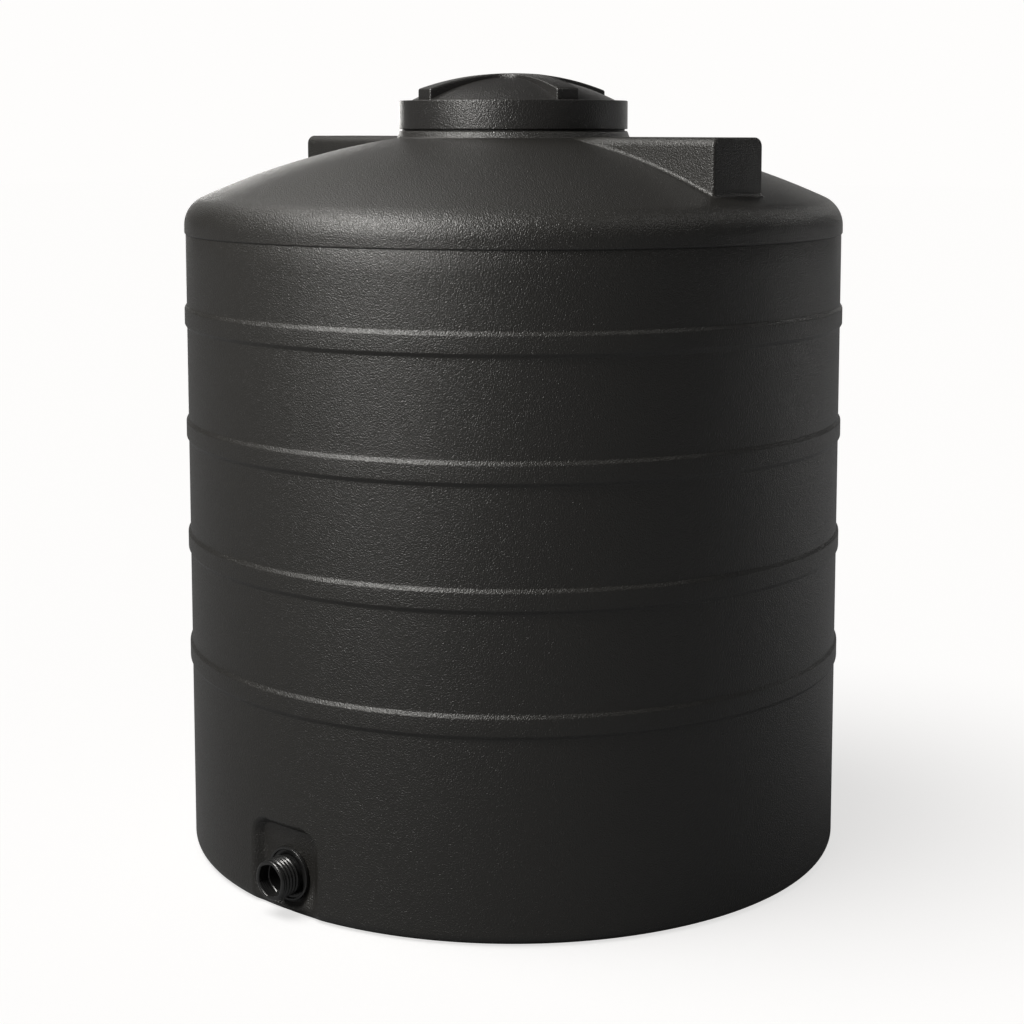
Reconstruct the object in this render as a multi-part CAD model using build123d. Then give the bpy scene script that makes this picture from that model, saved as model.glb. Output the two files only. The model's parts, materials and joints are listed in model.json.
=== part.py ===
from build123d import *
import os
from math import atan2, cos, degrees, radians, sin, sqrt

# A vertical water tank, rotationally moulded in black polyethylene. Sizes are in millimetres.
# The origin is on the floor at the centre of the tank, +Z is up, and the outlet faces -Y.

# Round wall
tank_radius = 650.0  # outside of the plain wall
wall = 6.5  # thickness of the moulding
heel_radius = 20.0  # rounding between the wall and the floor
seam_height = 1222.0  # where the roof begins
segments = 8  # pieces that the round wall and the roof are split into

# Moulded hoops
hoop_count = 4
first_hoop_top = 418.0
hoop_pitch = 222.0
hoop_height = 45.0
hoop_proud = 4.5
hoop_bevel = 7.0

# Domed roof
roof_overhang = 2.5  # how far the shoulder stands out over the wall
shoulder_radius = 60.0
shoulder_rise = 15.457  # from the seam up to the centre of the shoulder's rounding
dome_radius = 1500.0

# Lifting lugs
lug_angle = -6.0  # direction of the first lug, from +X towards +Y
lug_width = 135.0
lug_setback = 65.0  # from the wall in to the flat end
lug_drop = 11.0  # from the top of the ring under the lid down to the lug's top
lug_edge = 17.0  # rounding of the long top edges
lug_end_edge = 5.0  # rounding round the flat end

# Lid
lid_radius = 227.5
lid_wall = 4.0
lid_edge = 2.0  # rounding of the rim's outer edge
skirt_height = 56.0
rim_width = 22.5  # flat ring between the edge and the crown
crown_height = 49.0
rib_width = 50.0
rib_end_height = 21.5  # above the rim, at the outer end
rib_centre_height = 54.5  # above the rim, at the axis
rib_count = 4
rib_angle = -108.5  # direction of the first rib, from +X towards +Y
hub_radius = 75.0
seal_thickness = 2.9
seal_gap = 0.3  # above and below the seal
seal_inset = 2.0  # from the neck's bore, and from the skirt, to the seal

# Neck
lid_clearance = 8.5  # between the collar and the inside of the skirt, room for the thread
neck_wall = 8.0
collar_height = 52.0
base_ring_proud = 4.5  # how far the ring under the lid stands out past the skirt
base_ring_slope = 5.0  # how far its side leans in
base_ring_height = 14.05

# Outlet
outlet_height = 70.0
pad_recess = 22.0  # from the wall's surface in to the flat pad
pad_width = 152.0
pad_top = 160.0
pad_sill = 15.0  # height of the moulding left under the recess
pad_corner = 25.0
nipple_radius = 37.6  # outside of the thread
nipple_length = 45.0  # in front of the flange
nipple_wall = 11.6
nipple_bevel = 2.5
thread_depth = 1.6  # from the thread's outside in to the plain shank
thread_relief = 2.0  # plain shank left between the flange and the thread
socket_wall = 10.0  # left outside the flats of the hexagonal mouth
socket_depth = 24.0
flange_overhang = 12.4  # past the outside of the thread
flange_thickness = 7.0
flange_bevel = 1.5
flange_lip = 6.0  # width of the raised edge
flange_recess = 4.0  # depth of the face inside the lip
gasket_thickness = 2.0
gasket_setback = 3.0  # from the flange's edge in to the gasket's
nut_wall = 12.0  # from the shank out to the flats
nut_thickness = 18.0

# Worked out from the sizes above
segment_angle = 360.0 / segments
inner_radius = tank_radius - wall
heel_centre = tank_radius - heel_radius
hoop_tops = [first_hoop_top + i * hoop_pitch for i in range(hoop_count)]
roof_radius = tank_radius + roof_overhang
shoulder_centre_radius = roof_radius - shoulder_radius
shoulder_centre_height = seam_height + shoulder_rise
dome_centre = shoulder_centre_height - sqrt(
    (dome_radius - shoulder_radius) ** 2 - shoulder_centre_radius**2
)
crown_radius = lid_radius - rim_width
neck_outside = lid_radius - lid_wall - lid_clearance
neck_bore = neck_outside - neck_wall
base_ring_radius = lid_radius + base_ring_proud
base_ring_top_radius = base_ring_radius - base_ring_slope
base_ring_top = dome_centre + sqrt(dome_radius**2 - base_ring_radius**2) + base_ring_height
neck_top = base_ring_top + collar_height
seal_bottom = neck_top + seal_gap
seal_top = seal_bottom + seal_thickness
lid_top = seal_top + seal_gap + lid_wall
lid_bottom = lid_top - skirt_height
rib_angles = [rib_angle + i * 360.0 / rib_count for i in range(rib_count)]
lug_reach = tank_radius - lug_setback
lug_top = base_ring_top - lug_drop
pad_distance = tank_radius - pad_recess
pad_back = pad_distance - wall
tray_half_width = pad_width / 2 + wall
tray_top = pad_top + wall
flange_radius = nipple_radius + flange_overhang
flange_back = pad_distance + gasket_thickness
flange_front = flange_back + flange_thickness
gasket_radius = flange_radius - gasket_setback
shank_radius = nipple_radius - thread_depth
nipple_bore = nipple_radius - nipple_wall
nipple_back = pad_back - nut_thickness
nipple_reach = flange_front + nipple_length
beyond = 50.0  # how far a cutting tool runs past what it cuts


def dome_height(radius, depth=0.0):
    """Height of the dome at a radius, or of a surface that lies a depth below it."""
    return dome_centre + sqrt((dome_radius - depth) ** 2 - radius**2)


def section(edges):
    """A flat face in the XZ plane from edges drawn as (radius, height)."""
    return Plane.XZ * make_face(edges)


def sector(face, middle, angle):
    """Turns a section about the axis into a sector whose middle looks along an angle."""
    return Rot(0, 0, middle - angle / 2) * revolve(face, Axis.Z, angle)


def ring(inner, outer, low, high):
    return Pos(0, 0, low) * (
        Cylinder(outer, high - low, align=(Align.CENTER, Align.CENTER, Align.MIN))
        - Cylinder(inner, high - low, align=(Align.CENTER, Align.CENTER, Align.MIN))
    )


def span_box(x_low, x_high, y_low, y_high, z_low, z_high):
    size = (x_high - x_low, y_high - y_low, z_high - z_low)
    return Pos(x_low, y_low, z_low) * Box(*size, align=Align.MIN)


def along_outlet(shape, distance):
    """Puts a shape drawn upwards from the origin on the outlet's axis, from a distance outwards."""
    return Pos(0, -distance, outlet_height) * Rot(90, 0, 0) * shape


def hoop_points(depth):
    """Corners of the wall's hoops from the floor up, at a depth below the surface."""
    surface = tank_radius - depth
    crest = surface + hoop_proud
    points = []
    for top in hoop_tops:
        bottom = top - hoop_height
        points += [
            (surface, bottom),
            (crest, bottom + hoop_bevel),
            (crest, top - hoop_bevel),
            (surface, top),
        ]
    return points


def wall_section():
    outer = [(tank_radius, heel_radius)] + hoop_points(0) + [(tank_radius, seam_height)]
    inner = [(inner_radius, seam_height)] + hoop_points(wall)[::-1] + [(inner_radius, heel_radius)]
    return section(
        CenterArc((heel_centre, heel_radius), heel_radius, -90, 90)
        + Polyline(*outer, *inner)
        + CenterArc((heel_centre, heel_radius), heel_radius - wall, 0, -90)
        + Line((heel_centre, wall), (heel_centre, 0))
    )


def tray_block():
    """The block around the outlet recess, from the inside of its pad outwards."""
    return span_box(
        -tray_half_width, tray_half_width, -tank_radius - beyond, -pad_back, -beyond, tray_top
    )


def tank_floor():
    disc = Cylinder(heel_centre, wall, align=(Align.CENTER, Align.CENTER, Align.MIN))
    return disc - tray_block()


def wall_segment(middle):
    return sector(wall_section(), middle, segment_angle)


def front_wall_pieces():
    """The segment over the outlet: the wall above the recess, and a foot at each side."""
    whole = wall_segment(-90)
    low = span_box(-tank_radius, tank_radius, -tank_radius - beyond, 0, -beyond, tray_top)
    feet = (whole & low) - tray_block()
    left, right = feet.solids().sort_by(Axis.X)
    return whole - low, left, right


def outlet_pad():
    """The flat pad, set back from the wall, with its rim and the sill under it."""
    profile = (
        Polyline((0, 0), (heel_centre, 0))
        + CenterArc((heel_centre, heel_radius), heel_radius, -90, 90)
        + Polyline((tank_radius, heel_radius), (tank_radius, tray_top), (0, tray_top), (0, 0))
    )
    solid_tank = revolve(section(profile), Axis.Z, 360)
    outline = RectangleRounded(pad_width, pad_top - pad_sill, pad_corner)
    middle = (pad_top + pad_sill) / 2
    pocket = Pos(0, -pad_distance, middle) * extrude(Plane.XZ * outline, tank_radius)
    hole = along_outlet(Cylinder(shank_radius, 2 * beyond), pad_distance)
    return (solid_tank & tray_block()) - pocket - hole


def roof_section():
    """Shoulder and dome, from the seam up to the ring at the neck."""
    centre = (shoulder_centre_radius, shoulder_centre_height)
    rise = degrees(atan2(shoulder_centre_height - dome_centre, shoulder_centre_radius))

    def shell_arc(depth):
        return CenterArc(centre, shoulder_radius - depth, 0, rise)

    outer, inner = shell_arc(0), shell_arc(wall)
    outer_end = (base_ring_radius, dome_height(base_ring_radius))
    inner_end = (base_ring_radius, dome_height(base_ring_radius, wall))
    return section(
        Line((roof_radius, seam_height), outer @ 0)
        + outer
        + RadiusArc(outer @ 1, outer_end, -dome_radius)
        + Line(outer_end, inner_end)
        + RadiusArc(inner_end, inner @ 1, dome_radius - wall)
        + inner
        + Line(inner @ 0, (roof_radius - wall, seam_height))
        + Line((roof_radius - wall, seam_height), (roof_radius, seam_height))
    )


def lug_block(depth):
    """A lug's block along +X, from the neck outwards, at a depth below its surface."""
    outline = Polyline(
        (-lug_width / 2 + depth, 0),
        (lug_width / 2 - depth, 0),
        (lug_width / 2 - depth, lug_top - depth),
        (-lug_width / 2 + depth, lug_top - depth),
        close=True,
    )
    face = make_face(outline)
    top_corners = face.vertices().group_by(Axis.Y)[-1]
    face = fillet(top_corners, lug_edge - depth)
    start = base_ring_radius + depth
    block = extrude(Plane.YZ * face, lug_reach - depth)
    return block - Cylinder(start, 2 * lug_top + beyond)


def lifting_lug(angle):
    """A hollow lug that stands on the dome, open below."""
    outside_dome = Pos(0, 0, dome_centre) * Sphere(dome_radius)
    outside = lug_block(0)
    outside = fillet(outside.faces().sort_by(Axis.X)[-1].edges(), lug_end_edge)
    return Rot(0, 0, angle) * (outside - lug_block(wall) - outside_dome)


def roof_segment(middle, lugs_at):
    piece = sector(roof_section(), middle, segment_angle)
    if middle in lugs_at:
        piece -= Rot(0, 0, middle) * lug_block(wall)
    return piece


def neck_base_ring():
    low = dome_height(base_ring_radius, wall)
    edge = dome_height(base_ring_radius)
    outline = Polyline(
        (neck_bore, low),
        (base_ring_radius, low),
        (base_ring_radius, edge),
        (base_ring_top_radius, base_ring_top),
        (neck_bore, base_ring_top),
        close=True,
    )
    return revolve(section(outline), Axis.Z, 360)


def neck_collar():
    return ring(neck_bore, neck_outside, base_ring_top, neck_top)


def lid_seal():
    return ring(
        neck_bore + seal_inset, lid_radius - lid_wall - seal_inset, seal_bottom, seal_top
    )


def lid_skirt():
    return ring(lid_radius - lid_wall, lid_radius, lid_bottom, lid_top - lid_wall)


def cap_radius(rise, reach):
    """Radius of the arc that rises by a height over a half chord."""
    return (rise**2 + reach**2) / (2 * rise)


def lid_crown():
    """The flat rim and the dome inside it, one shell."""
    outer = cap_radius(crown_height, crown_radius)
    top = lid_top + crown_height
    low = lid_top - lid_wall
    foot = sqrt((outer - lid_wall) ** 2 - (low - (top - outer)) ** 2)
    outline = (
        Line((0, top - lid_wall), (0, top))
        + RadiusArc((0, top), (crown_radius, lid_top), outer)
        + Line((crown_radius, lid_top), (lid_radius - lid_edge, lid_top))
        + CenterArc((lid_radius - lid_edge, lid_top - lid_edge), lid_edge, 90, -90)
        + Polyline((lid_radius, lid_top - lid_edge), (lid_radius, low), (foot, low))
        + RadiusArc((foot, low), (0, top - lid_wall), -(outer - lid_wall))
    )
    return revolve(section(outline), Axis.Z, 360)


def lid_ribs_blank():
    """Everything between the crown and the surface that the tops of the ribs lie on."""
    crown = cap_radius(crown_height, crown_radius)
    tops = cap_radius(rib_centre_height - rib_end_height, crown_radius)
    over = Pos(0, 0, lid_top + rib_centre_height - tops) * Sphere(tops)
    under = Pos(0, 0, lid_top + crown_height - crown) * Sphere(crown)
    inside = Pos(0, 0, lid_top) * Cylinder(
        crown_radius, 2 * crown_height, align=(Align.CENTER, Align.CENTER, Align.MIN)
    )
    return (inside & over) - under


def lid_rib(blank, angle):
    bar = Rot(0, 0, angle) * span_box(
        0, crown_radius - lid_edge, -rib_width / 2, rib_width / 2, lid_top, 2 * lid_top
    )
    return (blank & bar) - Cylinder(hub_radius, 4 * lid_top)


def lid_hub(blank):
    return blank & Cylinder(hub_radius, 4 * lid_top)


def outlet_ring(inner, outer, back, front):
    return along_outlet(ring(inner, outer, 0, front - back), back)


def outlet_flange():
    """A ring with a raised lip round its front."""
    blank = ring(shank_radius, flange_radius, 0, flange_thickness)
    outer_edge = blank.edges().filter_by(GeomType.CIRCLE).group_by(Axis.Z)[-1].sort_by(SortBy.RADIUS)[-1]
    web = flange_thickness - flange_recess
    inside_lip = ring(shank_radius, flange_radius - flange_lip, web, flange_thickness)
    return along_outlet(chamfer(outer_edge, flange_bevel) - inside_lip, flange_back)


def outlet_nipple():
    """The tube through the pad, threaded in front, with a hexagonal socket in its mouth."""
    length = nipple_reach - nipple_back
    thread_start = flange_front + thread_relief - nipple_back
    thread = ring(nipple_bore, nipple_radius, thread_start, length)
    rim = thread.edges().filter_by(GeomType.CIRCLE).group_by(Axis.Z)[-1].sort_by(SortBy.RADIUS)[-1]
    tube = ring(nipple_bore, shank_radius, 0, thread_start) + chamfer(rim, nipple_bevel)
    hexagon = RegularPolygon(nipple_radius - socket_wall, 6, major_radius=False)
    tube -= Pos(0, 0, length - socket_depth) * extrude(hexagon, socket_depth + beyond)
    return along_outlet(tube, nipple_back)


def outlet_backnut():
    hexagon = RegularPolygon(shank_radius + nut_wall, 6, major_radius=False)
    nut = extrude(hexagon, nut_thickness) - Cylinder(shank_radius, 4 * nut_thickness)
    return along_outlet(nut, nipple_back)


def named_parts():
    parts = {"tank_floor": tank_floor()}
    front, left, right = front_wall_pieces()
    parts["wall_over_outlet"] = front
    parts["wall_foot_left"] = left
    parts["wall_foot_right"] = right
    for i in range(1, segments):
        parts[f"wall_segment_{i}"] = wall_segment(-90 + i * segment_angle)
    parts["outlet_pad"] = outlet_pad()
    lugs_at = [lug_angle, lug_angle + 180]
    for i in range(segments):
        parts[f"roof_segment_{i + 1}"] = roof_segment(lug_angle + i * segment_angle, lugs_at)
    for i, angle in enumerate(lugs_at):
        parts[f"lifting_lug_{i + 1}"] = lifting_lug(angle)
    parts["neck_base_ring"] = neck_base_ring()
    parts["neck_collar"] = neck_collar()
    parts["lid_seal"] = lid_seal()
    parts["lid_skirt"] = lid_skirt()
    parts["lid_crown"] = lid_crown()
    blank = lid_ribs_blank()
    for i, angle in enumerate(rib_angles):
        parts[f"lid_rib_{i + 1}"] = lid_rib(blank, angle)
    parts["lid_hub"] = lid_hub(blank)
    parts["outlet_gasket"] = outlet_ring(
        shank_radius, gasket_radius, pad_distance, flange_back
    )
    parts["outlet_flange"] = outlet_flange()
    parts["outlet_nipple"] = outlet_nipple()
    parts["outlet_backnut"] = outlet_backnut()
    return parts


os.makedirs("parts", exist_ok=True)
for name, shape in named_parts().items():
    export_step(shape, f"parts/{name}.step")
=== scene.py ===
import bpy
import bmesh
import json
from math import atan2, cos, degrees, floor, hypot, pi, radians, sin, sqrt
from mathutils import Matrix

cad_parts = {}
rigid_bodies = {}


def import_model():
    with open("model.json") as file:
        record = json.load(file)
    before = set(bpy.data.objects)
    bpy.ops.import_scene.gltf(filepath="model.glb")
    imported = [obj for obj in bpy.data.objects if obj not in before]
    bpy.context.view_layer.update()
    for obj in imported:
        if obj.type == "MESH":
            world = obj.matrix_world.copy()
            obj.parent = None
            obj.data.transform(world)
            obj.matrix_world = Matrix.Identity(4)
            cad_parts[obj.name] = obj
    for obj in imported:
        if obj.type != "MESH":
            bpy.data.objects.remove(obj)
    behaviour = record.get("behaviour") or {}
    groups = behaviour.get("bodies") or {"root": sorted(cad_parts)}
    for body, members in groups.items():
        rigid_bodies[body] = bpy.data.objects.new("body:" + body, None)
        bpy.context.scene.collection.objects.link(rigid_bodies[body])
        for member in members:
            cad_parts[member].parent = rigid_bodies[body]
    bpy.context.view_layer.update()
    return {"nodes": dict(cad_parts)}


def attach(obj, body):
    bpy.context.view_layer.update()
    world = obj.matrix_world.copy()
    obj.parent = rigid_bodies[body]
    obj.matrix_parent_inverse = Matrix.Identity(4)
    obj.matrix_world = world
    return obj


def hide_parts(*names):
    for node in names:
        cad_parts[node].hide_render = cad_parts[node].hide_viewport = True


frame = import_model()
print("frame loaded")


def mm(value):
    return value / 1000


# helpers for meshes

meshing = {
    "weld": mm(0.01),  # points closer than this become one
    "sliver": mm(0.005),  # edges shorter than this are closed up
    "cornerShare": 0.45,  # most of a side's length that the rounding at one end may take
}


def smoothStep(low, high, value):
    t = min(max((value - low) / (high - low), 0), 1)
    return t * t * (3 - 2 * t)


def makePiece(name, points, faces, material, body, replaced):
    mesh = bpy.data.meshes.new(name)
    mesh.from_pydata(points, [], faces)
    bm = bmesh.new()
    bm.from_mesh(mesh)
    bmesh.ops.remove_doubles(bm, verts=bm.verts, dist=meshing["weld"])
    bmesh.ops.dissolve_degenerate(bm, edges=bm.edges, dist=meshing["sliver"])
    bmesh.ops.recalc_face_normals(bm, faces=bm.faces)
    bm.to_mesh(mesh)
    bm.free()
    mesh.shade_smooth()
    piece = bpy.data.objects.new(name, mesh)
    bpy.context.scene.collection.objects.link(piece)
    mesh.materials.append(material)
    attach(piece, body)
    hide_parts(*replaced)
    return piece


def gridFaces(rows, columns, closed=True):
    # four-sided faces between rows of points; closed joins the last column to the first
    faces = []
    for i in range(rows - 1):
        for j in range(columns if closed else columns - 1):
            k = (j + 1) % columns
            low, high = i * columns, (i + 1) * columns
            faces.append((low + j, low + k, high + k, high + j))
    return faces


def tubeFaces(rows, columns):
    # the last row joins the first, as on a length of pipe
    last = (rows - 1) * columns
    joint = [(last + j, last + (j + 1) % columns, (j + 1) % columns, j) for j in range(columns)]
    return gridFaces(rows, columns) + joint


def cappedFaces(rows, columns):
    # two points after the rows close the shape, one at the first row and one at the last
    faces = gridFaces(rows, columns)
    firstPole, lastPole, last = rows * columns, rows * columns + 1, (rows - 1) * columns
    for j in range(columns):
        k = (j + 1) % columns
        faces += [(firstPole, k, j), (lastPole, last + j, last + k)]
    return faces


def ringPoints(radius, height, columns):
    angles = [2 * pi * j / columns for j in range(columns)]
    return [(radius * cos(a), radius * sin(a), height) for a in angles]


def turnPoint(x, y, angle):
    a = radians(angle)
    return x * cos(a) - y * sin(a), x * sin(a) + y * cos(a)


def arcPoints(centre, radius, start, end, steps):
    angles = [radians(start + (end - start) / steps * i) for i in range(steps + 1)]
    return [(centre[0] + radius * cos(a), centre[1] + radius * sin(a)) for a in angles]


def linePoints(start, end, spacing):
    # the points between the two ends, which are left out
    run, rise = end[0] - start[0], end[1] - start[1]
    steps = max(1, round(hypot(run, rise) / spacing))
    return [(start[0] + run * i / steps, start[1] + rise * i / steps) for i in range(1, steps)]


def roundCorners(corners, radius, steps=4):
    # open line of (radius, height); each inner corner becomes a short curve
    out = [corners[0]]
    for before, here, after in zip(corners, corners[1:], corners[2:]):
        toBefore = (before[0] - here[0], before[1] - here[1])
        toAfter = (after[0] - here[0], after[1] - here[1])
        lengthBefore, lengthAfter = hypot(*toBefore), hypot(*toAfter)
        r = min(radius, meshing["cornerShare"] * lengthBefore, meshing["cornerShare"] * lengthAfter)
        start = (here[0] + toBefore[0] / lengthBefore * r, here[1] + toBefore[1] / lengthBefore * r)
        end = (here[0] + toAfter[0] / lengthAfter * r, here[1] + toAfter[1] / lengthAfter * r)
        for i in range(steps + 1):
            t = i / steps
            out.append((
                (1 - t) ** 2 * start[0] + 2 * t * (1 - t) * here[0] + t * t * end[0],
                (1 - t) ** 2 * start[1] + 2 * t * (1 - t) * here[1] + t * t * end[1],
            ))
    out.append(corners[-1])
    return out


# materials

def linearColour(hexText):
    channels = [int(hexText[i:i + 2], 16) / 255 for i in (1, 3, 5)]
    linear = [c / 12.92 if c <= 0.04045 else ((c + 0.055) / 1.055) ** 2.4 for c in channels]
    return (*linear, 1)


def scaledColour(colour, factor):
    return (*[c * factor for c in colour[:3]], 1)


def addNode(tree, kind, settings=None, links=None):
    node = tree.nodes.new(kind)
    for key, value in (settings or {}).items():
        if isinstance(key, int) or key in node.inputs:
            node.inputs[key].default_value = value
        else:
            setattr(node, key, value)
    for key, source in (links or {}).items():
        tree.links.new(source, node.inputs[key])
    return node


def startMaterial(name):
    material = bpy.data.materials.new(name)
    material.use_nodes = True
    material.node_tree.nodes.clear()
    return material, material.node_tree


plastic = {
    "tankHex": "#1b1a18",  # carbon black in the resin leaves a warm, very dark grey
    "lidHex": "#1b1a19",
    "fittingHex": "#1c1c1c",
    "rubberHex": "#1b1b1b",
    "ior": 1.51,  # polyethylene and polypropylene
    "tankRoughness": 0.39,
    "lidRoughness": 0.34,
    "fittingRoughness": 0.24,
    "rubberRoughness": 0.7,
    "spread": 0.08,  # how far the roughness swings between the grain's tops and hollows
    "fittingSpread": 0.05,
    "grainSize": mm(2.4),  # the mould's grain is about 1 mm; drawn coarser so that it shows
    "grainDepth": mm(1.3),
    "lidGrainSize": mm(2.6),
    "lidGrainDepth": mm(1.1),
    "sinkSize": mm(9),  # faint waves that cooling leaves on the fitting
    "sinkDepth": mm(0.05),
    "rubberGrainSize": mm(3),
    "rubberGrainDepth": mm(0.1),
    "grainNoise": {"Detail": 0.6, "Roughness": 0.5, "Distortion": 0.4},
    "grainRange": [0.3, 0.7],  # the part of the noise that holds nearly all of the grain
    "patchSize": mm(180),  # slow change of tone over a moulding
    "patchNoise": {"Detail": 3, "Roughness": 0.55},
    "patchContrast": 0.07,
}


def grainedPlastic(name, hexText, roughness, grainSize, grainDepth, spread=plastic["spread"]):
    material, tree = startMaterial(name)
    place = addNode(tree, "ShaderNodeTexCoord").outputs["Object"]
    grain = addNode(
        tree, "ShaderNodeTexNoise", {"Scale": 1 / grainSize, **plastic["grainNoise"]}, {"Vector": place}
    )
    patches = addNode(
        tree, "ShaderNodeTexNoise",
        {"Scale": 1 / plastic["patchSize"], **plastic["patchNoise"]}, {"Vector": place},
    )
    base, contrast = linearColour(hexText), plastic["patchContrast"]
    colour = addNode(
        tree, "ShaderNodeMix",
        {"data_type": "RGBA", "A": scaledColour(base, 1 - contrast), "B": scaledColour(base, 1 + contrast)},
        {"Factor": patches.outputs["Fac"]},
    )
    low, high = plastic["grainRange"]
    gloss = addNode(
        tree, "ShaderNodeMapRange",
        {
            "From Min": low, "From Max": high,
            "To Min": roughness - spread / 2, "To Max": roughness + spread / 2,
        },
        {"Value": grain.outputs["Fac"]},
    )
    bump = addNode(
        tree, "ShaderNodeBump", {"Strength": 1, "Distance": grainDepth}, {"Height": grain.outputs["Fac"]}
    )
    shader = addNode(
        tree, "ShaderNodeBsdfPrincipled", {"IOR": plastic["ior"], "Metallic": 0},
        {
            "Base Color": colour.outputs["Result"],
            "Roughness": gloss.outputs["Result"],
            "Normal": bump.outputs["Normal"],
        },
    )
    addNode(tree, "ShaderNodeOutputMaterial", None, {"Surface": shader.outputs["BSDF"]})
    return material


# carbon-black polyethylene, rotationally moulded against sandblasted steel: matte, with a pebble grain
tankPolyethylene = grainedPlastic(
    "rotomouldedPolyethylene", plastic["tankHex"], plastic["tankRoughness"],
    plastic["grainSize"], plastic["grainDepth"],
)
# polyethylene moulded against a leather-grained mould: a little glossier, with a coarser grain
lidPolyethylene = grainedPlastic(
    "leatherGrainPolyethylene", plastic["lidHex"], plastic["lidRoughness"],
    plastic["lidGrainSize"], plastic["lidGrainDepth"],
)
# polypropylene, injection moulded in a polished mould: smooth and half glossy
fittingPolypropylene = grainedPlastic(
    "injectionMouldedPolypropylene", plastic["fittingHex"], plastic["fittingRoughness"],
    plastic["sinkSize"], plastic["sinkDepth"], plastic["fittingSpread"],
)
# nitrile rubber, pressed: dull, with no sheen
sealRubber = grainedPlastic(
    "pressedNitrileRubber", plastic["rubberHex"], plastic["rubberRoughness"],
    plastic["rubberGrainSize"], plastic["rubberGrainDepth"],
)
print("materials made")


# tank shell: floor, wall, roof and neck ring in one moulding

shell = {
    "radius": mm(650),
    "wall": mm(6.5),
    "heel": mm(20),
    "heelSteps": 12,
    "seam": mm(1222),
    "hoopTops": [mm(418), mm(640), mm(862), mm(1084)],
    "hoopHeight": mm(45),
    "hoopProud": mm(4.5),
    "hoopBevel": mm(7),
    "hoopRounding": mm(1.6),
    "hoopRun": mm(8),  # plain wall that each hoop takes along above and below
    "overhang": mm(2.5),
    "seamLip": mm(1.6),
    "seamRun": mm(2),
    "seamGroove": mm(0.8),
    "shoulder": mm(60),
    "shoulderSteps": 24,
    "domeRadius": mm(1500),
    "domeTop": mm(1425),
    "domeSteps": 26,
    "neckBore": mm(207),
    "ringRadius": mm(232),
    "ringTopRadius": mm(227),
    "ringTop": mm(1421),
    "ringRounding": mm(3),
    "ringFoot": mm(9),  # concave fillet between the ring and the roof
    "ringSteps": 6,
    "columnAngle": 1.595,  # degrees between columns of points away from the outlet
    "rowSpacing": mm(50),
    "insideShoulder": mm(40),  # how far the inside of the roof stops short of the wall
    "insideDrop": mm(10),  # how far the inside of the wall stops short of the seam
    "insideLow": mm(40),
    "insideHeel": mm(14),
    "insideSpacing": mm(200),
    "insideDomeSteps": 14,
    "insideHeelSteps": 5,
}
recess = {
    "distance": mm(628),  # from the tank's axis to the pad
    "halfWidth": mm(76),
    "margin": mm(30),  # nothing further out than this is pressed in
    "top": mm(160),
    "corner": mm(32),
    "sideSlope": mm(26),  # width of the soft rim at the sides
    "topSlope": mm(24),
    "slopeBlend": mm(25),
    "sill": [0, mm(62)],  # heights between which it turns shallower towards the floor
    "sillDepth": 0.3,  # share of the depth left at the floor
    "outletHeight": mm(70),
    "flangeSeat": [mm(51), mm(72)],  # distances from the outlet's axis; full depth within the first
    "fineHalfAngle": 11.0,  # degrees each side of the outlet with fine columns
    "fineAngle": 0.2,
    "fineRow": mm(2.5),
    "fineTop": mm(190),
}


def domeHeight(radius, depth=0.0):
    centre = shell["domeTop"] - shell["domeRadius"]
    return centre + sqrt((shell["domeRadius"] - depth) ** 2 - radius ** 2)


def hoopProfile(top):
    r, run, bevel = shell["radius"], shell["hoopRun"], shell["hoopBevel"]
    low, crest = top - shell["hoopHeight"], r + shell["hoopProud"]
    corners = [(r, low - run), (r, low), (crest, low + bevel), (crest, top - bevel), (r, top), (r, top + run)]
    return roundCorners(corners, shell["hoopRounding"])


def outerProfile():
    # from the middle of the floor up the outside and in to the neck
    r, heel, spacing = shell["radius"], shell["heel"], shell["rowSpacing"]
    points = [(0.0, 0.0), (r / 2, 0.0)]
    points += arcPoints((r - heel, heel), heel, -90, 0, shell["heelSteps"])
    points += linePoints((r, heel), (r, recess["fineTop"]), recess["fineRow"])
    points.append((r, recess["fineTop"]))
    for top in shell["hoopTops"]:
        hoop = hoopProfile(top)
        points += linePoints(points[-1], hoop[0], spacing) + hoop
    seam, lip, outer = shell["seam"], shell["seamLip"], r + shell["overhang"]
    underSeam = (r, seam - shell["seamRun"])
    points += linePoints(points[-1], underSeam, spacing)
    points += roundCorners([
        underSeam, (r - shell["seamGroove"], seam), (outer - lip, seam), (outer, seam + lip),
        (outer, seam + 3 * lip),
    ], lip)
    shoulderRadius = outer - shell["shoulder"]
    shoulderHeight = domeHeight(shoulderRadius, shell["shoulder"])
    domeCentre = shell["domeTop"] - shell["domeRadius"]
    rise = degrees(atan2(shoulderHeight - domeCentre, shoulderRadius))
    points += arcPoints((shoulderRadius, shoulderHeight), shell["shoulder"], 0, rise, shell["shoulderSteps"])
    start, end = points[-1][0], shell["ringRadius"] + 2 * shell["ringFoot"]
    for i in range(1, shell["domeSteps"] + 1):
        here = start + (end - start) * i / shell["domeSteps"]
        points.append((here, domeHeight(here)))
    ringLow = (shell["ringRadius"], domeHeight(shell["ringRadius"]))
    ringHigh = (shell["ringTopRadius"], shell["ringTop"])
    middle = ((ringLow[0] + ringHigh[0]) / 2, (ringLow[1] + ringHigh[1]) / 2)
    steps = shell["ringSteps"]
    points += roundCorners([points[-1], ringLow, middle], shell["ringFoot"], steps)[1:]
    points += roundCorners(
        [middle, ringHigh, (shell["neckBore"], shell["ringTop"])], shell["ringRounding"], steps
    )[1:]
    return points


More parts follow.
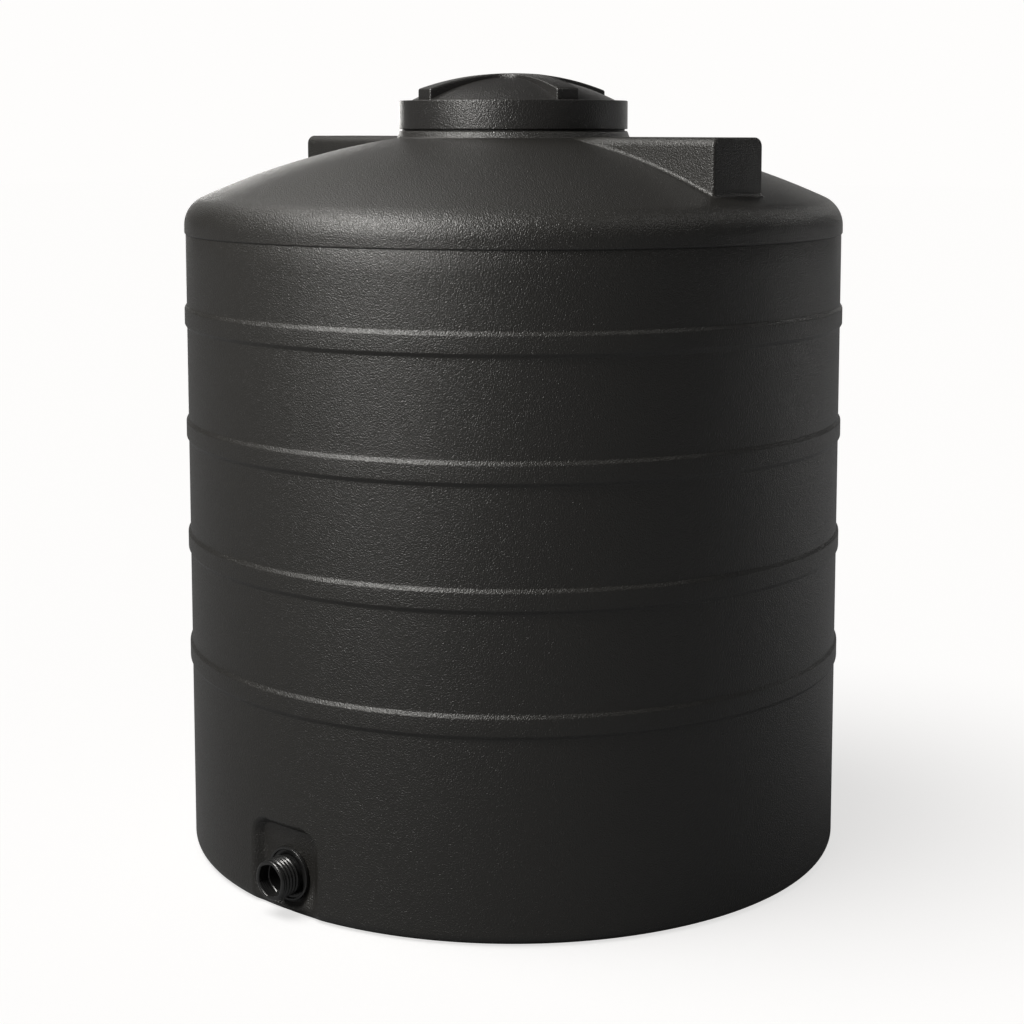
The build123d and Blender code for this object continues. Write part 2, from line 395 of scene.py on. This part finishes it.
def innerProfile():
    # from the neck down the inside; plainer, since it only shows through the neck
    wall, bore, heel = shell["wall"], shell["neckBore"], shell["insideHeel"]
    inside, steps = shell["radius"] - wall, shell["insideDomeSteps"]
    points = []
    for i in range(steps + 1):
        here = bore + (inside - shell["insideShoulder"] - bore) * i / steps
        points.append((here, domeHeight(here, wall)))
    high, low = (inside, shell["seam"] - shell["insideDrop"]), (inside, shell["insideLow"])
    points += [high] + linePoints(high, low, shell["insideSpacing"]) + [low]
    points += arcPoints((inside - heel, wall + heel), heel, 0, -90, shell["insideHeelSteps"])
    return points + [(0.0, wall)]


def shellAngles():
    # degrees from +X; fine near the outlet, which points along -Y
    middle, half = -90, recess["fineHalfAngle"]
    rest = 360 - 2 * half
    fineSteps, steps = round(2 * half / recess["fineAngle"]), round(rest / shell["columnAngle"])
    angles = [middle - half + 2 * half * i / fineSteps for i in range(fineSteps)]
    return angles + [middle + half + rest * i / steps for i in range(steps)]


def recessShare(x, z):
    # how deep the recess is here, from 0 on the wall to 1 on the pad
    dx, dz = recess["halfWidth"] - abs(x), recess["top"] - z
    corner, blend = recess["corner"], recess["slopeBlend"]
    inside = min(dx, dz)
    if dx < corner and dz < corner:
        inside = corner - hypot(corner - dx, corner - dz)
    towardsTop = smoothStep(-blend, blend, dx - dz)
    slope = recess["sideSlope"] + (recess["topSlope"] - recess["sideSlope"]) * towardsTop
    seat = 1 - smoothStep(*recess["flangeSeat"], hypot(x, z - recess["outletHeight"]))
    kept = max(smoothStep(*recess["sill"], z), seat)
    fade = recess["sillDepth"] + (1 - recess["sillDepth"]) * kept
    return smoothStep(-slope / 2, slope / 2, inside) * fade


def pressOutside(x, y, z):
    # the outside of the wall sinks in to the pad
    if y > 0 or z > recess["fineTop"] or abs(x) > recess["halfWidth"] + recess["margin"]:
        return y
    return max(y, y + (-recess["distance"] - y) * recessShare(x, z))


def pressInside(x, y, z):
    # the inside stays behind the pad
    if y >= 0 or z >= recess["fineTop"] or abs(x) >= recess["halfWidth"] + shell["wall"]:
        return y
    return max(y, shell["wall"] - recess["distance"])


def makeShell():
    outer, inner = outerProfile(), innerProfile()
    profile = outer + inner
    angles = [radians(angle) for angle in shellAngles()]
    points = []
    for row, (r, z) in enumerate(profile[1:-1], 1):
        press = pressOutside if row < len(outer) else pressInside
        for a in angles:
            x, y = r * cos(a), r * sin(a)
            points.append((x, press(x, y, z), z))
    points += [(0, 0, profile[0][1]), (0, 0, profile[-1][1])]
    faces = cappedFaces(len(profile) - 2, len(angles))
    shellNodes = [n for n in frame["nodes"] if n.startswith(("wall_", "roof_segment"))]
    shellNodes += ["tank_floor", "outlet_pad", "neck_base_ring"]
    return makePiece(
        "tankShell", points, faces, tankPolyethylene, "tank", shellNodes
    )


makeShell()
print("tank shell made")


# lifting lugs

lug = {
    "angle": -6.0,  # degrees from +X
    "halfWidth": mm(67.5),
    "reach": mm(585),
    "top": mm(1410),
    "topRounding": mm(17),
    "topSteps": 8,
    "topShares": [0.5, 0.25],  # points between the rounding and the middle, as shares of the half width
    "sideDrops": [mm(140), mm(100), mm(70), mm(50), mm(35), mm(24)],  # rows down the sides, below the top
    "endRounding": mm(5),
    "endSteps": 6,
    "endShares": [0.6, 0.3],
    "stations": 60,
    "bodyTuck": mm(6),  # how far the body starts inside the neck ring
    "sink": mm(1),  # how far the body goes into the roof
    "foot": mm(7),  # radius of the fillet where it meets the roof
    "footSteps": 6,
    "footTuck": mm(8),  # how far the fillet starts inside the ring's foot
    "footFade": [mm(2), mm(22)],  # heights of the lug between which the fillet grows
    "footIntoLug": mm(0.1),
    "footIntoRoof": mm(0.15),
}


def lugSection():
    # half of the lug's section from the roof up: place across, height below the top, outward normal
    half, rounding, steps = lug["halfWidth"], lug["topRounding"], lug["topSteps"]
    rows = [(half, drop, 1.0, 0.0) for drop in lug["sideDrops"]]
    for i in range(steps + 1):
        c, s = cos(pi / 2 * i / steps), sin(pi / 2 * i / steps)
        rows.append((half - rounding + rounding * c, rounding - rounding * s, c, s))
    return rows + [(half * share, 0.0, 0.0, 1.0) for share in lug["topShares"]]


def lugBody():
    side = lugSection()
    rows = [(-y, drop, -ny, nz) for y, drop, ny, nz in side] + [(0.0, 0.0, 0.0, 1.0)] + side[::-1]
    start, edge, count = shell["ringTopRadius"] - lug["bodyTuck"], lug["endRounding"], lug["stations"]
    straight = lug["reach"] - edge
    stations = [(start + (straight - start) * i / count, 0.0) for i in range(count + 1)]
    for i in range(1, lug["endSteps"] + 1):
        turn = pi / 2 * i / lug["endSteps"]
        stations.append((straight + edge * sin(turn), edge * (1 - cos(turn))))
    points = []
    for x, shrink in stations:
        for y, drop, ny, nz in rows:
            across = y - ny * shrink
            low = domeHeight(hypot(x, across)) - lug["sink"]
            points.append((x, across, max(lug["top"] - drop - nz * shrink, low)))
    faces = gridFaces(len(stations), len(rows), closed=False)
    last = (len(stations) - 1) * len(rows)
    faces.append(tuple(range(last + len(rows) - 1, last - 1, -1)))
    return points, faces


def lugFootOutline():
    # half of the line along the side and round the end: place, outward normal, height of the lug there
    half, edge, rounding = lug["halfWidth"], lug["endRounding"], lug["topRounding"]
    start, end, count = shell["ringRadius"] - lug["footTuck"], lug["reach"], lug["stations"]
    full = lug["footFade"][1]  # the end is higher than this; it stands for any height with a full fillet
    outline = []
    for i in range(count + 1):
        x = start + (end - edge - start) * i / count
        rise = lug["top"] - domeHeight(hypot(x, half))
        inset = rounding - sqrt(rounding ** 2 - (rounding - rise) ** 2) if rise < rounding else 0.0
        outline.append((x, half - inset, 0.0, 1.0, rise))
    for i in range(1, lug["endSteps"] + 1):
        turn = pi / 2 * i / lug["endSteps"]
        place = (end - edge + edge * sin(turn), half - edge + edge * cos(turn))
        outline.append((*place, sin(turn), cos(turn), full))
    outline += [(end, (half - edge) * share, 1.0, 0.0, full) for share in lug["endShares"]]
    return outline, (end, 0.0, 1.0, 0.0, full)


def lugFoot():
    # concave fillet where the lug meets the roof
    half, middle = lugFootOutline()
    outline = half + [middle] + [(x, -y, nx, -ny, rise) for x, y, nx, ny, rise in half[::-1]]
    points, steps = [], lug["footSteps"]
    for x, y, nx, ny, rise in outline:
        foot = lug["foot"] * smoothStep(*lug["footFade"], rise)
        for i in range(steps + 1):
            turn = pi / 2 * i / steps
            out = foot * (1 - sin(turn)) - lug["footIntoLug"]
            px, py = x + nx * out, y + ny * out
            roof = domeHeight(hypot(px, py)) - lug["footIntoRoof"]
            points.append((px, py, roof + foot * (1 - cos(turn))))
    return points, gridFaces(len(outline), steps + 1, closed=False)


def makeLug(name, angle, node):
    points, faces = lugBody()
    footPoints, footFaces = lugFoot()
    faces += [tuple(len(points) + k for k in face) for face in footFaces]
    turned = [(*turnPoint(x, y, angle), z) for x, y, z in points + footPoints]
    return makePiece(name, turned, faces, tankPolyethylene, "tank", [node])


for i in range(2):
    makeLug(f"liftingLug{i + 1}", lug["angle"] + 180 * i, f"lifting_lug_{i + 1}")
print("lugs made")


# neck and lid

lid = {
    "radius": mm(227.5),
    "top": mm(1480.5),
    "bottom": mm(1424.5),
    "wall": mm(4),
    "edge": mm(2.4),  # rounding of the skirt's edges
    "edgeSteps": 6,
    "lip": mm(6),  # height of the skirt's lower edge inside
    "rowSpacing": mm(6),
    "columns": 256,
    "crownRadius": mm(205),
    "crownHeight": mm(49),
    "crownFoot": mm(3),  # rounding where the crown rises from the rim
    "crownRun": mm(8),
    "crownSteps": 24,
    "underInset": mm(2),
    "underSteps": 12,
    "ribHalfWidth": mm(25),
    "ribEnd": mm(203),
    "ribEndHeight": mm(21.5),
    "ribCentreHeight": mm(54.5),
    "ribAngles": [-108.5, -18.5, 71.5, 161.5],
    "ribEdge": mm(3),
    "ribEdgeSteps": 4,
    "ribCorner": mm(4),
    "ribCornerSteps": 5,
    "ribSpacing": mm(8),
    "ribSideShares": [0.35, 0.7],  # rows up the ribs' sides
    "ribTopShares": [0.96, 0.9, 0.8, 0.68, 0.55, 0.4, 0.25, 0.12],  # rows over their tops to the centre
    "innerFillet": mm(50),  # where two ribs meet near the centre
    "innerFilletSteps": 8,
    "ribSink": mm(0.5),  # how far the ribs go into the crown, and into the rim
    "rimSink": mm(0.3),
    "rimMargin": mm(1),
}
neck = {
    "bore": mm(207),
    "root": mm(215),
    "foot": mm(222),  # a low step on the base ring, in the shade under the lid
    "footHeight": mm(3.2),
    "footSlope": mm(1),  # the wall leans in over at least this height above the step
    "threadHeight": mm(3),
    "pitch": mm(14),
    "runIn": [mm(6), mm(10)],  # heights over which the thread grows
    "runOut": [mm(3), mm(8)],  # the same, down from the top
    "bottom": mm(1421),
    "top": mm(1473),
    "edge": mm(1.5),  # bevel of the rim
    "edgeDrop": mm(0.7),  # how far below the top it starts outside
    "steps": 60,
    "columns": 192,
}
threadShape = {"rise": [0.08, 0.36], "fall": [0.56, 0.84]}  # shares of one pitch


def capRadius(rise, reach):
    # radius of the sphere whose cap rises this much over this reach
    return (rise ** 2 + reach ** 2) / (2 * rise)


def crownZ(radius, depth=0.0):
    cap = capRadius(lid["crownHeight"], lid["crownRadius"])
    return lid["top"] + lid["crownHeight"] - cap + sqrt((cap - depth) ** 2 - radius ** 2)


def ribTopZ(radius):
    cap = capRadius(lid["ribCentreHeight"] - lid["ribEndHeight"], lid["crownRadius"])
    return lid["top"] + lid["ribCentreHeight"] - cap + sqrt(cap ** 2 - radius ** 2)


def ribFootZ(radius):
    if radius < lid["crownRadius"] - lid["rimMargin"]:
        return crownZ(radius, lid["ribSink"])
    return lid["top"] - lid["rimSink"]


def makeLid():
    r, top, bottom, bore = lid["radius"], lid["top"], lid["bottom"], lid["radius"] - lid["wall"]
    reach, steps, under = lid["crownRadius"], lid["crownSteps"], top - lid["wall"]
    profile = [(reach * i / steps, crownZ(reach * i / steps)) for i in range(steps)]
    corners = [profile[-1], (reach, crownZ(reach)), (reach + lid["crownRun"], top)]
    profile += roundCorners(corners, lid["crownFoot"])[1:-1]
    corners = [profile[-1], (r, top), (r, bottom), (bore, bottom), (bore, bottom + lid["lip"])]
    profile += roundCorners(corners, lid["edge"], lid["edgeSteps"])[1:]
    profile += linePoints(profile[-1], (bore, under), lid["rowSpacing"])
    foot, steps = reach - lid["underInset"], lid["underSteps"]
    profile += [(bore, under), (foot, under)]
    for i in range(1, steps + 1):
        here = foot * (1 - i / steps)
        profile.append((here, crownZ(here, lid["wall"])))
    columns, points = lid["columns"], []
    for radius, z in profile[1:-1]:
        points += ringPoints(radius, z, columns)
    points += [(0, 0, profile[0][1]), (0, 0, profile[-1][1])]
    return makePiece(
        "lidShell", points, cappedFaces(len(profile) - 2, columns), lidPolyethylene,
        "lid", ["lid_skirt", "lid_crown"],
    )


def crossOutline():
    # one arm along +X from its right inner fillet to its left one, then turned four times
    half, end, corner, fillet = lid["ribHalfWidth"], lid["ribEnd"], lid["ribCorner"], lid["innerFillet"]
    spacing, steps, filletSteps = lid["ribSpacing"], lid["ribCornerSteps"], lid["innerFilletSteps"]
    arm = arcPoints((half + fillet, -half - fillet), fillet, 135, 90, filletSteps)
    arm += linePoints(arm[-1], (end - corner, -half), spacing)
    arm += arcPoints((end - corner, -half + corner), corner, -90, 0, steps)
    arm += linePoints(arm[-1], (end, half - corner), spacing)
    arm += arcPoints((end - corner, half - corner), corner, 0, 90, steps)
    arm += linePoints(arm[-1], (half + fillet, half), spacing)
    arm += arcPoints((half + fillet, half + fillet), fillet, -90, -135, filletSteps)[:-1]
    return [turnPoint(x, y, angle) for angle in lid["ribAngles"] for x, y in arm]


def makeCross():
    outline = crossOutline()
    count, edge, steps = len(outline), lid["ribEdge"], lid["ribEdgeSteps"]
    normals = []
    for i in range(count):
        before, after = outline[i - 1], outline[(i + 1) % count]
        dx, dy = after[0] - before[0], after[1] - before[1]
        normals.append((dy / hypot(dx, dy), -dx / hypot(dx, dy)))
    points = []

    def addRow(inset, heightAt, share=1.0):
        for (x, y), (nx, ny) in zip(outline, normals):
            px, py = (x - nx * inset) * share, (y - ny * inset) * share
            points.append((px, py, heightAt(hypot(px, py))))

    addRow(0, ribFootZ)
    for share in lid["ribSideShares"]:
        addRow(0, lambda r, s=share: (1 - s) * crownZ(r) + s * (ribTopZ(r) - edge))
    for i in range(steps + 1):
        turn = pi / 2 * i / steps
        addRow(edge * (1 - cos(turn)), lambda r, drop=edge * (1 - sin(turn)): ribTopZ(r) - drop)
    for share in lid["ribTopShares"]:
        addRow(edge, ribTopZ, share)
    rows = len(points) // count
    last, centre = (rows - 1) * count, rows * count
    points.append((0, 0, ribTopZ(0)))
    faces = gridFaces(rows, count)
    faces += [(last + j, last + (j + 1) % count, centre) for j in range(count)]
    replaced = [f"lid_rib_{i + 1}" for i in range(4)] + ["lid_hub"]
    return makePiece("lidRibs", points, faces, lidPolyethylene, "lid", replaced)


def threadRise(phase):
    # rounded crest and root of a moulded thread: 0 at the root, 1 at the crest, over one pitch
    t = phase - floor(phase)
    return smoothStep(*threadShape["rise"], t) - smoothStep(*threadShape["fall"], t)


def helixRow(along, radius, share, spec):
    # one ring of points round the axis; share is how much of the thread's height it carries
    row, columns = [], spec["columns"]
    for j in range(columns):
        a = 2 * pi * j / columns
        r = radius + share * spec["threadHeight"] * threadRise(along / spec["pitch"] - j / columns)
        row.append((r * cos(a), r * sin(a), along))
    return row


def makeNeck():
    height, root, bore, edge = neck["top"] - neck["bottom"], neck["root"], neck["bore"], neck["edge"]
    rows = [(0.0, bore, 0), (0.0, neck["foot"], 0), (neck["footHeight"], neck["foot"], 0)]
    for i in range(1, neck["steps"]):
        along = height * i / neck["steps"]
        if along >= neck["footHeight"] + neck["footSlope"]:
            share = smoothStep(*neck["runIn"], along) * smoothStep(*neck["runOut"], height - along)
            rows.append((along, root, share))
    rows += [(height - neck["edgeDrop"], root, 0), (height, root - edge, 0)]
    rows += [(height, bore + edge, 0), (height - edge, bore, 0)]
    points = [point for row in rows for point in helixRow(*row, neck)]
    points = [(x, y, z + neck["bottom"]) for x, y, z in points]
    return makePiece(
        "neckCollar", points, tubeFaces(len(rows), neck["columns"]), tankPolyethylene,
        "tank", ["neck_collar"],
    )


makeNeck()
makeLid()
makeCross()
print("neck and lid made")


# outlet

outlet = {
    "height": recess["outletHeight"],
    "back": mm(603.5),  # from the tank's axis, like the flange's two faces and the mouth
    "flangeBack": mm(630),
    "flangeFront": mm(637),
    "flangeRadius": mm(50),
    "flangeEdge": mm(1.5),
    "flangeEdgeSteps": 5,
    "flangeLip": mm(5),
    "flangeRecess": mm(4),
    "mouth": mm(682),
    "root": mm(35.2),
    "threadHeight": mm(2.4),
    "pitch": mm(7.6),  # coarser than the real 2.3 mm, as the photograph draws it
    "threadStart": mm(5),
    "runIn": mm(3),
    "runOut": [mm(1), mm(4)],  # distances from the rim over which the thread fades
    "rim": mm(4),
    "rimSteps": 6,
    "rimShare": 0.6,  # height of the rim, as a share of the thread's
    "steps": 90,
    "mouthRounding": mm(2.4),
    "mouthSteps": 5,
    "socketFlat": mm(27.6),  # half the distance across the flats
    "socketDepth": mm(24),
    "socketSteps": 16,
    "socketRounding": 0.55,  # share by which the hexagon's corners are drawn in
    "socketSwell": 1.05,
    "socketTurn": 12.0,  # degrees
    "bore": mm(26),
    "boreRings": [mm(0.5), mm(4)],  # rings near each end, so that the shading stays crisp at the step
    "innerLift": mm(0.4),  # faint turns inside the mouth
    "innerPitch": mm(5),
    "columns": 144,
}


def toOutlet(points, distance):
    # a shape drawn upwards from the origin goes on the outlet's axis, pointing along -Y
    return [(x, -distance - z, outlet["height"] + y) for x, y, z in points]


def hexRadius(angle):
    flat, rounding, sector = outlet["socketFlat"], outlet["socketRounding"], pi / 3
    fromFlat = (angle + radians(outlet["socketTurn"]) + sector / 2) % sector - sector / 2
    return flat / cos(fromFlat) * (1 - rounding) + flat * outlet["socketSwell"] * rounding


def nippleOutside(length):
    rim, root = outlet["rim"], outlet["root"]
    threadFrom = outlet["flangeFront"] - outlet["back"] + outlet["threadStart"]
    end, rimLift = length - rim, outlet["threadHeight"] * outlet["rimShare"]
    places = [length * i / outlet["steps"] for i in range(1, outlet["steps"])]
    points = helixRow(0.0, root, 0, outlet)
    for along in [place for place in places if place <= end] + [end]:
        fade = smoothStep(*outlet["runOut"], end - along)
        share = smoothStep(threadFrom, threadFrom + outlet["runIn"], along) * fade
        points += helixRow(along, root + rimLift * (1 - fade), share, outlet)
    for i in range(1, outlet["rimSteps"] + 1):
        turn = pi / 2 * i / outlet["rimSteps"]
        points += ringPoints(root + rimLift - rim + rim * cos(turn), end + rim * sin(turn), outlet["columns"])
    return points


def nippleInside(length):
    columns, rounding, depth = outlet["columns"], outlet["mouthRounding"], outlet["socketDepth"]
    rows = []
    for i in range(outlet["mouthSteps"] + 1):
        turn = pi / 2 * i / outlet["mouthSteps"]
        rows.append((length - rounding * (1 - cos(turn)), rounding * (1 - sin(turn))))
    for i in range(1, outlet["socketSteps"] + 1):
        rows.append((length - rounding - (depth - rounding) * i / outlet["socketSteps"], 0.0))
    points = []
    for along, opening in rows:
        for j in range(columns):
            a = 2 * pi * j / columns
            radius = hexRadius(a) + opening
            if opening == 0:
                radius -= outlet["innerLift"] * threadRise(along / outlet["innerPitch"] - j / columns)
            points.append((radius * cos(a), radius * sin(a), along))
    step, (near, far) = length - depth, outlet["boreRings"]
    for along in (step, step - near, step - far, step / 2, far, near, 0.0):
        points += ringPoints(outlet["bore"], along, columns)
    return points


def makeNipple():
    length = outlet["mouth"] - outlet["back"]
    points = nippleOutside(length) + nippleInside(length)
    faces = tubeFaces(len(points) // outlet["columns"], outlet["columns"])
    return makePiece(
        "outletNipple", toOutlet(points, outlet["back"]), faces, fittingPolypropylene,
        "tank", ["outlet_nipple"],
    )


def makeFlange():
    thick = outlet["flangeFront"] - outlet["flangeBack"]
    r, inner, web = outlet["flangeRadius"], outlet["root"], thick - outlet["flangeRecess"]
    lip = r - outlet["flangeLip"]
    corners = [(inner, 0), (r, 0), (r, thick), (lip, thick), (lip, web), (inner, web)]
    profile = roundCorners(corners, outlet["flangeEdge"], outlet["flangeEdgeSteps"])
    columns, points = outlet["columns"], []
    for radius, z in profile:
        points += ringPoints(radius, z, columns)
    return makePiece(
        "outletFlange", toOutlet(points, outlet["flangeBack"]), tubeFaces(len(profile), columns),
        fittingPolypropylene, "tank", ["outlet_flange"],
    )


makeNipple()
makeFlange()
print("outlet made")

# these keep their solids and only take a material
carriedOver = {
    "lid_seal": sealRubber,
    "outlet_gasket": sealRubber,
    "outlet_backnut": fittingPolypropylene,
}
for node, material in carriedOver.items():
    frame["nodes"][node].material_slots[0].material = material


# stage, light and camera

stage = {
    "floorSize": 40.0,
    "paper": "#fefdfc",
    "glow": 0.71,  # share of the floor's look that no shadow darkens
    "shade": 0.5,  # colour of the part that holds the shadow
    "underlight": 0.45,  # how pale the floor is to the tank above it
    "glossShare": 0.04,  # the plastic is dull, so its sheen takes only a little of the white sheet
    "worldLight": 0.05,
    "lampHex": "#fffdf9",
}
camera = {
    "azimuth": 40.5,  # degrees; 0 looks along +Y
    "distance": 4.0016,
    "height": 1.4286,
    "pitch": 6.334,
    "lens": 70.033,
    "sensor": 36.0,
    "shiftX": -0.00146,
    "shiftY": -0.16,
}
lamps = {
    # azimuth as the camera's; distance from the axis, height, height aimed at, width and height in metres
    "key": {"azimuth": -3, "distance": 3.3, "height": 2.35, "aim": 1.25, "size": [0.8, 2.0], "watts": 96},
    "upper": {"azimuth": -14, "distance": 2.7, "height": 3.8, "aim": 0.9, "size": [0.8, 0.9], "watts": 146},
    "rim": {"azimuth": 150, "distance": 4.2, "height": 0.6, "aim": 0.7, "size": [1.0, 1.3], "watts": 5},
    "domeRim": {"azimuth": 168, "distance": 4.0, "height": 2.7, "aim": 1.2, "size": [1.0, 0.7], "watts": 8},
    "backdrop": {"azimuth": 220, "distance": 5.0, "height": 1.9, "aim": 1.2, "size": [6.0, 2.2], "watts": 27},
    "backKey": {"azimuth": 238, "distance": 3.3, "height": 1.1, "aim": 0.9, "size": [0.8, 1.5], "watts": 24},
    "top": {"azimuth": -80, "distance": 2.0, "height": 4.1, "aim": 1.3, "size": [2.4, 2.0], "watts": 43},
    "side": {"azimuth": 102, "distance": 2.4, "height": 4.0, "aim": 1.1, "size": [1.4, 1.2], "watts": 13},
}
shadowSun = {"azimuth": -30.0, "elevation": 68.0, "spread": 40.0, "strength": 1.767}


def mixByRay(tree, sheet, room):
    # camera and transmission rays see the sheet, glossy ones a share of it, and the rest the room
    path = addNode(tree, "ShaderNodeLightPath")
    gloss = addNode(
        tree, "ShaderNodeMath", {"operation": "MULTIPLY", 1: stage["glossShare"]},
        {0: path.outputs["Is Glossy Ray"]},
    )
    direct = addNode(
        tree, "ShaderNodeMath", {"operation": "MAXIMUM"},
        {0: path.outputs["Is Camera Ray"], 1: path.outputs["Is Transmission Ray"]},
    )
    seen = addNode(
        tree, "ShaderNodeMath", {"operation": "MAXIMUM"}, {0: direct.outputs[0], 1: gloss.outputs[0]}
    )
    return addNode(
        tree, "ShaderNodeMixShader", None, {0: seen.outputs[0], 1: room.outputs[0], 2: sheet.outputs[0]}
    )


def makeFloor():
    size = stage["floorSize"]
    corners = [(-size, -size, 0), (size, -size, 0), (size, size, 0), (-size, size, 0)]
    mesh = bpy.data.meshes.new("floor")
    mesh.from_pydata(corners, [], [(0, 1, 2, 3)])
    floorPiece = bpy.data.objects.new("floor", mesh)
    bpy.context.scene.collection.objects.link(floorPiece)
    # matte white paper, uncoated: an even sheet with no sheen that holds a soft shadow
    material, tree = startMaterial("whitePaper")
    paper, under = linearColour(stage["paper"]), stage["underlight"]
    lit = addNode(tree, "ShaderNodeBsdfDiffuse", {"Color": scaledColour(paper, stage["shade"])})
    glow = addNode(tree, "ShaderNodeEmission", {"Color": paper, "Strength": stage["glow"]})
    sheet = addNode(tree, "ShaderNodeAddShader", None, {0: lit.outputs[0], 1: glow.outputs[0]})
    room = addNode(tree, "ShaderNodeBsdfDiffuse", {"Color": (under, under, under, 1)})
    mix = mixByRay(tree, sheet, room)
    addNode(tree, "ShaderNodeOutputMaterial", None, {"Surface": mix.outputs[0]})
    mesh.materials.append(material)
    return floorPiece


def makeWorld():
    world = bpy.data.worlds.new("studio")
    bpy.context.scene.world = world
    world.use_nodes = True
    tree = world.node_tree
    tree.nodes.clear()
    room = addNode(
        tree, "ShaderNodeBackground", {"Color": (1, 1, 1, 1), "Strength": stage["worldLight"]}
    )
    sheet = addNode(tree, "ShaderNodeBackground", {"Color": linearColour(stage["paper"]), "Strength": 1})
    mix = mixByRay(tree, sheet, room)
    addNode(tree, "ShaderNodeOutputWorld", None, {"Surface": mix.outputs[0]})


def makeLamp(name, spec, lit):
    data = bpy.data.lights.new(name, "AREA")
    data.shape = "RECTANGLE"
    data.size, data.size_y = spec["size"]
    data.energy, data.color = spec["watts"], linearColour(stage["lampHex"])[:3]
    lamp = bpy.data.objects.new(name, data)
    bpy.context.scene.collection.objects.link(lamp)
    a, distance, height = radians(spec["azimuth"]), spec["distance"], spec["height"]
    lamp.location = (distance * sin(a), -distance * cos(a), height)
    lamp.rotation_euler = (pi / 2 - atan2(height - spec["aim"], distance), 0, a)
    lamp.light_linking.receiver_collection = lit


def makeSun(spec, lit):
    data = bpy.data.lights.new("shadowSun", "SUN")
    data.energy, data.angle = spec["strength"], radians(spec["spread"])
    sun = bpy.data.objects.new("shadowSun", data)
    bpy.context.scene.collection.objects.link(sun)
    sun.rotation_euler = (radians(90 - spec["elevation"]), 0, radians(spec["azimuth"]))
    sun.light_linking.receiver_collection = lit


def makeCamera():
    data = bpy.data.cameras.new("camera")
    data.lens, data.sensor_width = camera["lens"], camera["sensor"]
    data.shift_x, data.shift_y = camera["shiftX"], camera["shiftY"]
    eye = bpy.data.objects.new("camera", data)
    bpy.context.scene.collection.objects.link(eye)
    a = radians(camera["azimuth"])
    eye.location = (camera["distance"] * sin(a), -camera["distance"] * cos(a), camera["height"])
    eye.rotation_euler = (radians(90 - camera["pitch"]), 0, a)
    bpy.context.scene.camera = eye


floorPiece = makeFloor()
makeWorld()
# the soft lamps leave the floor out, so that it stays evenly white; a sun of its own gives it the shadow
tankOnly = bpy.data.collections.new("tankOnly")
for piece in bpy.context.scene.objects:
    if piece.type == "MESH" and piece != floorPiece:
        tankOnly.objects.link(piece)
floorOnly = bpy.data.collections.new("floorOnly")
floorOnly.objects.link(floorPiece)
for lampName, lampSpec in lamps.items():
    makeLamp(lampName, lampSpec, tankOnly)
makeSun(shadowSun, floorOnly)
makeCamera()
bpy.context.scene.view_settings.view_transform = "Standard"
print("stage, light and camera made")
